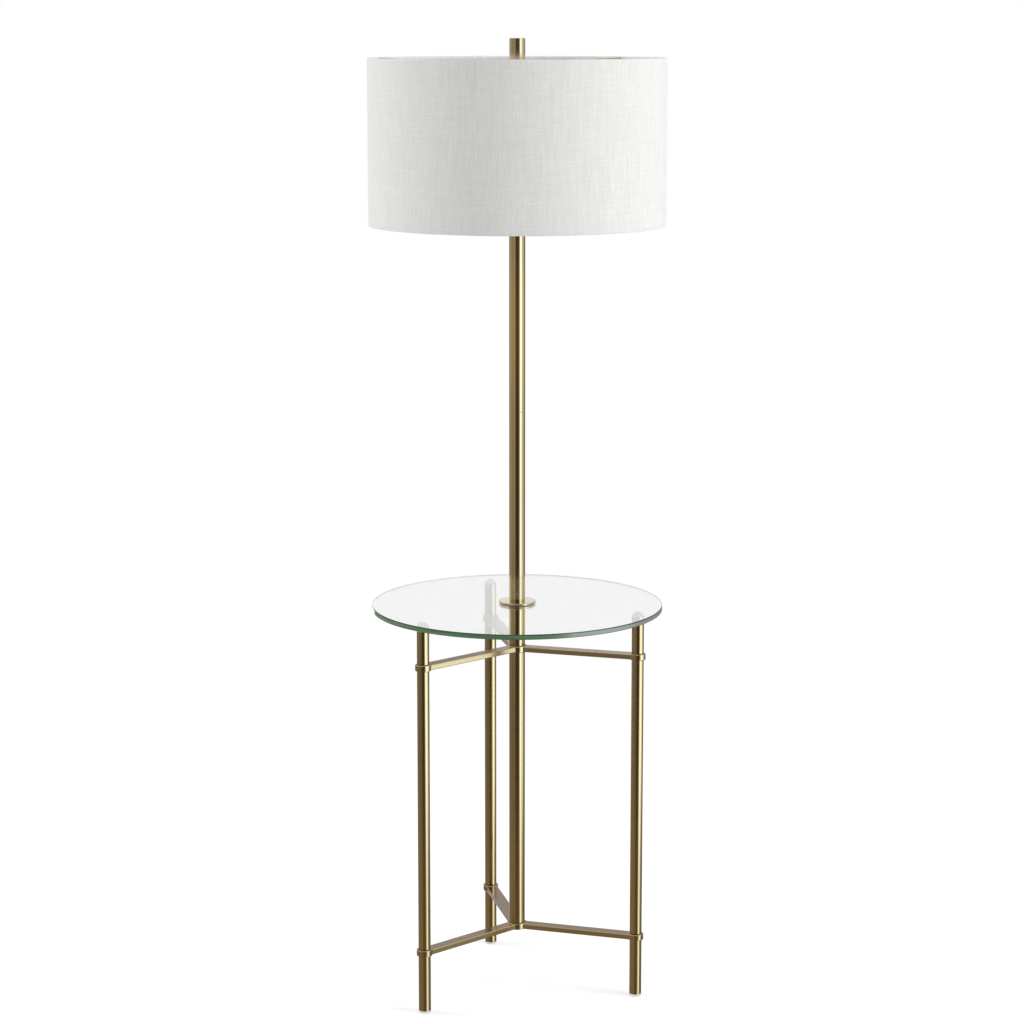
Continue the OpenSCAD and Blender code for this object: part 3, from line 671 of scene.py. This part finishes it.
def dress(piece, finish, smooth_under=40):
    mesh = piece.data
    mesh.validate()
    mesh.materials.clear()
    mesh.materials.append(FINISHES[finish])
    mesh.shade_smooth()
    mesh.set_sharp_from_angle(angle=math.radians(smooth_under))
    if piece.name not in bpy.context.scene.collection.objects:
        bpy.context.scene.collection.objects.link(piece)
    return piece


def turned(name, profile, finish, place=None, steps=96, smooth_under=40):
    """A closed shape turned on a lathe: profile is (radius, height) from bottom to top, in mm.

    It starts and ends on the axis, or comes back to where it started.
    """
    verts, rows = [], []
    for radius, height in profile:
        if radius < 1e-6:
            rows.append([len(verts)] * steps)
            verts.append((0, 0, height * MM))
            continue
        rows.append(list(range(len(verts), len(verts) + steps)))
        out = radius * MM
        for i in range(steps):
            angle = TURN * i / steps
            verts.append((out * math.cos(angle), out * math.sin(angle), height * MM))
    faces = []
    for low, high in zip(rows, rows[1:]):
        for i in range(steps):
            j = (i + 1) % steps
            ring = [low[i], low[j], high[j], high[i]]
            face = [v for k, v in enumerate(ring) if v not in ring[:k]]
            if len(face) > 2:
                faces.append(face)
    if place is not None:
        verts = [tuple(place @ Vector(v)) for v in verts]
    return new_piece(name, verts, faces, finish, smooth_under)


def arc(centre, radius, start, end, steps):
    """Points on an arc, in degrees."""
    points = []
    for i in range(steps + 1):
        angle = math.radians(start + (end - start) * i / steps)
        points.append((centre[0] + radius * math.cos(angle), centre[1] + radius * math.sin(angle)))
    return points


# ---- table glass ----


def glass_top():
    """The round sheet, with a pencil-polished rim and a ground hole for the tie pipe."""
    low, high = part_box("table_glass")
    rim, bottom, top = high.x / MM, low.z / MM, high.z / MM
    hole, round_off, ease = 6.0, 1.0, 0.4
    corner = rim - round_off
    flat_ends = corner - 0.3
    profile = [(hole, bottom + ease), (hole + ease, bottom), (hole + 2 * ease, bottom)]
    profile += [(flat_ends, bottom)] + arc((corner, bottom + round_off), round_off, -90, 0, 4)
    profile += arc((corner, top - round_off), round_off, 0, 90, 4) + [(flat_ends, top)]
    profile += [(hole + 2 * ease, top), (hole + ease, top), (hole, top - ease)]
    profile += [profile[0]]
    sheet = turned("glass_top", profile, "table_glass", steps=192, smooth_under=10)
    sheet.data.materials.append(FINISHES["glass_edge"])
    for face in sheet.data.polygons:
        out = math.hypot(face.center.x, face.center.y) / MM
        on_the_rim = out > corner - 0.1 and abs(face.normal.z) < 0.95
        if on_the_rim or out < hole + ease:
            face.material_index = 1
    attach(sheet, "stand")
    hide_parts("table_glass")


# ---- the shade's cloth ----


CLOTH_THICK, CLOTH_LAP = 0.55, 9.0


def cloth_section():
    """The section of the shade's cloth, as (radius, height) in mm from its lower end to its upper.

    Each end turns in over a wire ring and is tucked behind the liner. The lower end mirrors the
    upper one.
    """
    low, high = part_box("shade_fabric")
    radius, bottom, top = high.x / MM, low.z / MM, high.z / MM
    ring_low, ring_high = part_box("shade_top_ring")
    wire = (ring_high.z - ring_low.z) / 2 / MM
    ring_r, ring_z = ring_high.x / MM - wire, (ring_high.z + ring_low.z) / 2 / MM
    tuck_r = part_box("shade_liner")[1].x / MM - 1.2
    corner, end_height, end_steps, wall_steps = 0.9, 60, 8, 18
    step = (end_height - corner) / end_steps
    upper = [(radius, top - end_height + step * i) for i in range(end_steps + 1)]
    upper += arc((radius - corner, top - corner), corner, 0, 90, 5)[1:]
    upper += arc((ring_r, ring_z), wire + CLOTH_THICK, 90, 236, 14)
    upper += [(tuck_r - 0.05, ring_z - 4.9), (tuck_r, ring_z - 6.2), (tuck_r, ring_z - 9.5)]
    lower = [(r, top + bottom - z) for r, z in reversed(upper)]
    step = (top - bottom - 2 * end_height) / wall_steps
    wall = [(radius, bottom + end_height + step * i) for i in range(1, wall_steps)]
    return lower + wall + upper


def shade_cloth():
    """One piece of linen round the liner, turned in at both ends, lapped and glued at the back."""
    low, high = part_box("shade_fabric")
    radius, bottom, top = high.x / MM, low.z / MM, high.z / MM
    section = cloth_section()
    lengths = [0.0]
    for a, b in zip(section, section[1:]):
        lengths.append(lengths[-1] + math.dist(a, b))
    normals = []
    for i in range(len(section)):
        a, b = section[max(i - 1, 0)], section[min(i + 1, len(section) - 1)]
        run = math.dist(a, b)
        normals.append(((b[1] - a[1]) / run, -(b[0] - a[0]) / run))

    steps = 360
    start = math.radians(90) + 0.5 * CLOTH_LAP / radius
    whole = TURN + CLOTH_LAP / radius
    climb = 0.6 * CLOTH_LAP
    verts, uvs = [], []
    for k in range(steps + 1):
        angle = whole * k / steps
        past = (angle - (TURN - climb / radius)) * radius
        lift = 0.62 * min(1.0, max(0.0, past / climb))
        wave_x, wave_y = math.cos(angle) * 2.2, math.sin(angle) * 2.2
        cos, sin = math.cos(start + angle), math.sin(start + angle)
        for inner in (0, 1):
            for (r, z), (nr, nz), length in zip(section, normals, lengths):
                sway = 0.0
                if bottom + 8 < z < top - 8:
                    sway = 0.12 * noise.noise(Vector((wave_x, wave_y, z * 0.012)))
                off = lift + sway - inner * CLOTH_THICK
                out, height = r + nr * off, z + nz * off
                verts.append((out * MM * cos, out * MM * sin, height * MM))
                uvs.append((angle * radius * MM, length * MM))

    row = len(section)
    faces = []

    def add_face(a, b, c, d, flip):
        faces.append([d, c, b, a] if flip else [a, b, c, d])

    for k in range(steps):
        for side, flip in ((0, False), (row, True)):
            for i in range(row - 1):
                a = k * 2 * row + side + i
                add_face(a, a + 2 * row, a + 2 * row + 1, a + 1, flip)
        for i, flip in ((0, True), (row - 1, False)):
            a = k * 2 * row + i
            add_face(a, a + 2 * row, a + 3 * row, a + row, flip)
    for k, flip in ((0, False), (steps, True)):
        for i in range(row - 1):
            a = k * 2 * row + i
            add_face(a, a + 1, a + row + 1, a + row, flip)

    cloth = new_piece("linen_shade", verts, faces, "linen", 60)
    layer = cloth.data.uv_layers.new(name="cloth")
    for loop in cloth.data.loops:
        layer.data[loop.index].uv = uvs[loop.vertex_index]
    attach(cloth, "shade")
    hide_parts("shade_fabric")


# ---- meshes grown by geometry nodes ----


def geometry_tree(name, inputs):
    """A Geometry Nodes tree with named inputs, and the identifier of each of its sockets."""
    tree = bpy.data.node_groups.new(name, "GeometryNodeTree")
    named = {}
    for title, kind, default in inputs:
        named[title] = socket_of(tree, title, kind, default)
    socket_of(tree, "Geometry", "NodeSocketGeometry", output=True)
    return tree, Graph(tree), named


def end_tree(g, geometry, finish):
    """Makes the geometry real and gives it its finish."""
    real = g.add("GeometryNodeRealizeInstances", {"Geometry": geometry}).outputs[0]
    inputs = {"Geometry": real, "Material": finish}
    done = g.add("GeometryNodeSetMaterial", inputs).outputs[0]
    g.add("NodeGroupOutput", {"Geometry": done})


def grown(name, tree, named, values, finish, body):
    """Runs a tree on an empty mesh and keeps the result as a plain mesh that rides on a body."""
    seed = bpy.data.objects.new(name + "_seed", bpy.data.meshes.new(name + "_seed"))
    bpy.context.scene.collection.objects.link(seed)
    modifier = seed.modifiers.new("grow", "NODES")
    modifier.node_group = tree
    for title, value in values.items():
        modifier[named[title]] = value
    bpy.context.view_layer.update()
    ready = seed.evaluated_get(bpy.context.evaluated_depsgraph_get())
    mesh = bpy.data.meshes.new_from_object(ready)
    mesh.name = name
    bpy.data.objects.remove(seed)
    piece = dress(bpy.data.objects.new(name, mesh), finish)
    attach(piece, body)
    return piece


# ---- bulb ----


def screw_thread_tree():
    """A rolled sheet-metal thread: a sleeve whose radius waves once for each pitch as it climbs."""
    tree, g, named = geometry_tree(
        "screw_thread",
        [
            ("Radius", "NodeSocketFloat", 0.013),
            ("Depth", "NodeSocketFloat", 0.0008),
            ("Pitch", "NodeSocketFloat", 0.0036),
            ("Bottom", "NodeSocketFloat", 0.0),
            ("Height", "NodeSocketFloat", 0.02),
            ("Finish", "NodeSocketMaterial", None),
        ],
    )
    given = g.add("NodeGroupInput").outputs
    size = {"Size X": 1.0, "Size Y": 1.0, "Vertices X": 97, "Vertices Y": 121}
    grid = g.add("GeometryNodeMeshGrid", size).outputs["Mesh"]
    x, y, _ = g.parts(g.add("GeometryNodeInputPosition").outputs[0])
    angle = g.times(g.plus(x, 0.5), TURN)
    climb = g.times(g.plus(y, 0.5), given["Height"])
    turns = g.minus(g.times(g.maths("DIVIDE", climb, given["Pitch"]), TURN), angle)
    fade = g.times(g.span(y, -0.5, -0.40), g.span(y, 0.5, 0.40))
    half_depth = g.times(given["Depth"], 0.5)
    wave = g.times(g.times(g.minus(g.maths("SINE", turns), 1.0), half_depth), fade)
    radius = g.plus(given["Radius"], wave)
    place = g.xyz(
        g.times(radius, g.maths("COSINE", angle)),
        g.times(radius, g.maths("SINE", angle)),
        g.plus(given["Bottom"], climb),
    )
    rolled = g.add("GeometryNodeSetPosition", {"Geometry": grid, "Position": place}).outputs[0]
    seam = {"Geometry": rolled, "Distance": 1e-6}
    welded = g.add("GeometryNodeMergeByDistance", seam).outputs[0]
    end_tree(g, welded, given["Finish"])
    return tree, named


def bulb():
    """A frosted bulb with a plastic collar and a screw base."""
    base_low, base_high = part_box("bulb_base")
    globe_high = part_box("bulb_globe")[1]
    bottom, shoulder, base_r = base_low.z / MM, base_high.z / MM, base_high.x / MM
    top, globe_r = globe_high.z / MM, globe_high.x / MM
    collar_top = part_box("bulb_housing")[1].z / MM
    centre = top - globe_r
    thread_low, thread_top = bottom + 2.0, shoulder - 3.0

    tree, named = screw_thread_tree()
    values = {
        "Radius": base_r * MM,
        "Depth": 1.5 * MM,
        "Pitch": 3.6 * MM,
        "Bottom": thread_low * MM,
        "Height": (thread_top - thread_low) * MM,
        "Finish": FINISHES["bulb_metal"],
    }
    thread = grown("bulb_screw_thread", tree, named, values, "bulb_metal", "bulb")
    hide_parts("bulb_base")

    core, inside = base_r - 1.6, base_r - 0.1
    foot = [(0, bottom + 0.2), (core - 3.2, bottom + 0.2), (core - 0.6, bottom + 1.4)]
    foot += [(base_r, thread_low), (inside, thread_low + 0.3), (core, thread_low + 1.2)]
    foot += [(core, thread_top - 1), (inside, thread_top - 0.2), (base_r, thread_top)]
    foot += [(base_r, shoulder), (0, shoulder)]
    cup = turned("bulb_base_cup", foot, "bulb_metal")
    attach(cup, "bulb")

    drop = centre - collar_top
    half_chord = math.sqrt(globe_r ** 2 - drop ** 2)
    join_r = half_chord + 1.4
    flare_low, flare_r = shoulder + 1.2, base_r + 0.4
    flare = (collar_top - shoulder) * 0.9 - 1.2
    collar = [(0, shoulder), (base_r - 0.4, shoulder), (base_r + 0.3, shoulder + 0.7)]
    for i in range(13):
        t = i / 12
        ease = t * t * (3 - 2 * t)
        out = (join_r - flare_r) * (0.35 * t + 0.65 * ease)
        collar.append((flare_r + out, flare_low + flare * t))
    collar += [(join_r, collar_top - 0.8), (join_r - 0.5, collar_top), (0, collar_top)]
    housing = turned("bulb_collar", collar, "bulb_plastic")
    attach(housing, "bulb")
    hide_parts("bulb_housing")

    glass_r = join_r - 0.9
    globe_starts = math.degrees(math.atan2(-drop, half_chord)) + 16
    globe = [(0, collar_top - 0.6), (glass_r, collar_top - 0.6), (glass_r, collar_top + 0.6)]
    globe += arc((0, centre), globe_r, globe_starts, 90, 26)[:-1] + [(0, top)]
    diffuser = turned("bulb_diffuser", globe, "bulb_globe", smooth_under=60)
    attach(diffuser, "bulb")
    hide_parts("bulb_globe")


# ---- lamp holder and switch key ----


def bead_tree():
    """Rolled beads: a torus at each point of an upright row."""
    tree, g, named = geometry_tree(
        "rolled_beads",
        [
            ("Radius", "NodeSocketFloat", 0.0165),
            ("Bead", "NodeSocketFloat", 0.0006),
            ("Bottom", "NodeSocketFloat", 0.0),
            ("Spacing", "NodeSocketFloat", 0.003),
            ("Count", "NodeSocketInt", 3),
            ("Finish", "NodeSocketMaterial", None),
        ],
    )
    given = g.add("NodeGroupInput").outputs
    row = g.add(
        "GeometryNodeMeshLine",
        {
            "Count": given["Count"],
            "Start Location": g.xyz(0.0, 0.0, given["Bottom"]),
            "Offset": g.xyz(0.0, 0.0, given["Spacing"]),
        },
    ).outputs[0]

    def circle(steps, radius):
        inputs = {"Resolution": steps, "Radius": radius}
        return g.add("GeometryNodeCurvePrimitiveCircle", inputs).outputs["Curve"]

    path = {"Curve": circle(96, given["Radius"]), "Profile Curve": circle(12, given["Bead"])}
    bead = g.add("GeometryNodeCurveToMesh", path).outputs[0]
    placed = {"Points": row, "Instance": bead}
    set_out = g.add("GeometryNodeInstanceOnPoints", placed).outputs[0]
    end_tree(g, set_out, given["Finish"])
    return tree, named


def holder_beads():
    tree, named = bead_tree()
    low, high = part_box("holder_shell")
    for name, bottom, spacing, count in (
        ("holder_lower_beads", low.z + 8 * MM, 3.2 * MM, 2),
        ("holder_rim_bead", high.z - 0.5 * MM, 1 * MM, 1),
    ):
        values = {
            "Radius": high.x - 0.15 * MM,
            "Bead": 0.55 * MM,
            "Bottom": bottom,
            "Spacing": spacing,
            "Count": count,
            "Finish": FINISHES["turned_brass"],
        }
        beads = grown(name, tree, named, values, "turned_brass", "stand")


def rib_tree():
    """Grip ribs on both faces of a round paddle, each as long as the paddle is wide there."""
    tree, g, named = geometry_tree(
        "grip_ribs",
        [
            ("Reach", "NodeSocketFloat", 0.006),
            ("Face", "NodeSocketFloat", 0.00215),
            ("Rib", "NodeSocketFloat", 0.0004),
            ("Count", "NodeSocketInt", 7),
            ("Middle", "NodeSocketVector", None),
            ("Finish", "NodeSocketMaterial", None),
        ],
    )
    given = g.add("NodeGroupInput").outputs
    low = g.times(given["Reach"], -0.85)
    step = g.maths("DIVIDE", g.times(given["Reach"], 1.7), g.minus(given["Count"], 1))
    rows = []
    for side in (-1.0, 1.0):
        start = g.xyz(g.times(given["Face"], side), low, 0.0)
        row = {"Count": given["Count"], "Start Location": start, "Offset": g.xyz(0.0, step, 0.0)}
        rows.append(g.add("GeometryNodeMeshLine", row).outputs[0])
    points = g.add("GeometryNodeJoinGeometry")
    for row in rows:
        g.tree.links.new(row, points.inputs[0])
    _, y, _ = g.parts(g.add("GeometryNodeInputPosition").outputs[0])
    share = g.maths("DIVIDE", y, given["Reach"])
    chord = g.maths("SQRT", g.minus(1.0, g.times(share, share)))
    length = g.times(g.times(chord, given["Reach"]), 1.7)
    size = {"Vertices": 12, "Radius": given["Rib"], "Depth": 1.0}
    rod = g.add("GeometryNodeMeshCylinder", size).outputs["Mesh"]
    scale = g.xyz(1.0, 1.0, length)
    placed = {"Points": points.outputs[0], "Instance": rod, "Scale": scale}
    ribs = g.add("GeometryNodeInstanceOnPoints", placed).outputs[0]
    move = {"Geometry": ribs, "Translation": given["Middle"]}
    set_out = g.add("GeometryNodeTransform", move).outputs[0]
    end_tree(g, set_out, given["Finish"])
    return tree, named


def switch_key():
    """A round paddle on a stem, with ribs for the fingers."""
    low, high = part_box("switch_key")
    reach = (high.z - low.z) / 2 / MM
    half, lip = 2.25, 0.9
    height = (high.z + low.z) / 2
    middle = Vector((0, low.y + reach * MM, height))
    paddle = [(0, -half + 0.35), (reach - 3, -half + 0.25), (reach - 1.1, -half)]
    paddle += arc((reach - lip, -half + lip), lip, -90, 0, 4)[1:]
    paddle += arc((reach - lip, half - lip), lip, 0, 90, 4)[:-1]
    paddle += [(reach - 1.1, half), (reach - 3, half - 0.25), (0, half - 0.35)]
    lie = Matrix.Translation(middle) @ Matrix.Rotation(math.pi / 2, 4, "Y")
    disc = turned("switch_paddle", paddle, "black_plastic", lie, 64)
    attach(disc, "switch")
    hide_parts("switch_key")
    length = (high.y - low.y) / MM - 2 * reach + 3.0
    stem = [(0, 0), (3.1, 0), (3.5, 0.4), (3.5, 2.0), (2.9, 2.6)]
    stem += [(2.7, length - 2.5), (2.1, length), (0, length)]
    stand = Matrix.Translation((0, high.y, height)) @ Matrix.Rotation(math.pi / 2, 4, "X")
    post = turned("switch_stem", stem, "black_plastic", stand, 48)
    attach(post, "switch")
    tree, named = rib_tree()
    values = {
        "Reach": (reach - 1.6) * MM,
        "Face": (half - 0.25) * MM,
        "Rib": 0.42 * MM,
        "Count": 7,
        "Middle": middle,
        "Finish": FINISHES["black_plastic"],
    }
    ribs = grown("switch_grip_ribs", tree, named, values, "black_plastic", "switch")


place_camera()
studio_world()
lamp("key_softbox", angle=72, distance=3.2, height=1.9, size=(1.1, 1.9), watts=50)
lamp("fill_softbox", angle=-102, distance=3.2, height=1.6, size=(1.1, 1.9), watts=40)
studio_floor()
finish_cad()
glass_top()
shade_cloth()
bulb()
holder_beads()
switch_key()

bpy.context.scene.view_settings.view_transform = "Standard"
